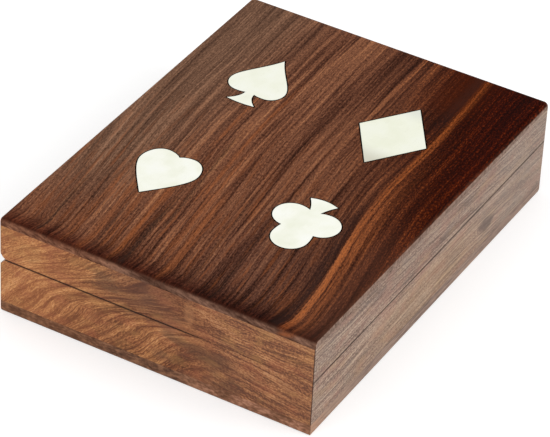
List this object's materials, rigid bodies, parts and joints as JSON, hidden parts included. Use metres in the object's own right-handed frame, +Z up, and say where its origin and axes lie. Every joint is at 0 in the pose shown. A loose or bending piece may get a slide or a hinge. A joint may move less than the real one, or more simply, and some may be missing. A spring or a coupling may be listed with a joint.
{
  "type": "playing card box",
  "caption": "Low wooden box with a hinged lid, wells for playing card decks side by side, and white card suits inlaid in the lid.",
  "frame": {"origin": "middle of the closed box's underside", "axes": "+X along the length, +Y towards the hinged back, +Z up"},
  "size_m": [0.155, 0.114, 0.036],
  "materials": {
    "rosewood_top": "satin oil",
    "rosewood_long_side": "satin oil",
    "rosewood_short_side": "satin oil",
    "rosewood_bottom": "satin oil",
    "bone": "polished",
    "brass": "satin",
    "felt": "felt"
  },
  "bodies": {
    "base": {"bottom_board": "rosewood_bottom", "base_front_wall": "rosewood_long_side", "base_back_wall": "rosewood_long_side", "base_left_wall": "rosewood_short_side", "base_right_wall": "rosewood_short_side", "deck_divider": "rosewood_long_side", "well_lining_left": "felt", "well_lining_right": "felt", "hinge_left_base_leaf": "brass", "hinge_left_pin": "brass", "hinge_right_base_leaf": "brass", "hinge_right_pin": "brass", "base_hinge_screws": "brass"},
    "lid": {"lid_top_board": "rosewood_top", "lid_front_wall": "rosewood_long_side", "lid_back_wall": "rosewood_long_side", "lid_left_wall": "rosewood_short_side", "lid_right_wall": "rosewood_short_side", "inlay_spade": "bone", "inlay_heart": "bone", "inlay_club": "bone", "inlay_diamond": "bone", "hinge_left_lid_leaf": "brass", "hinge_right_lid_leaf": "brass", "lid_hinge_screws": "brass"}
  },
  "joints": [
    {"name": "lid_hinge", "type": "hinge", "parent": "base", "child": "lid", "pos_m": [0, 0.0555, 0.0205], "axis": [-1, 0, 0], "range_deg": [0, 105]}
  ]
}
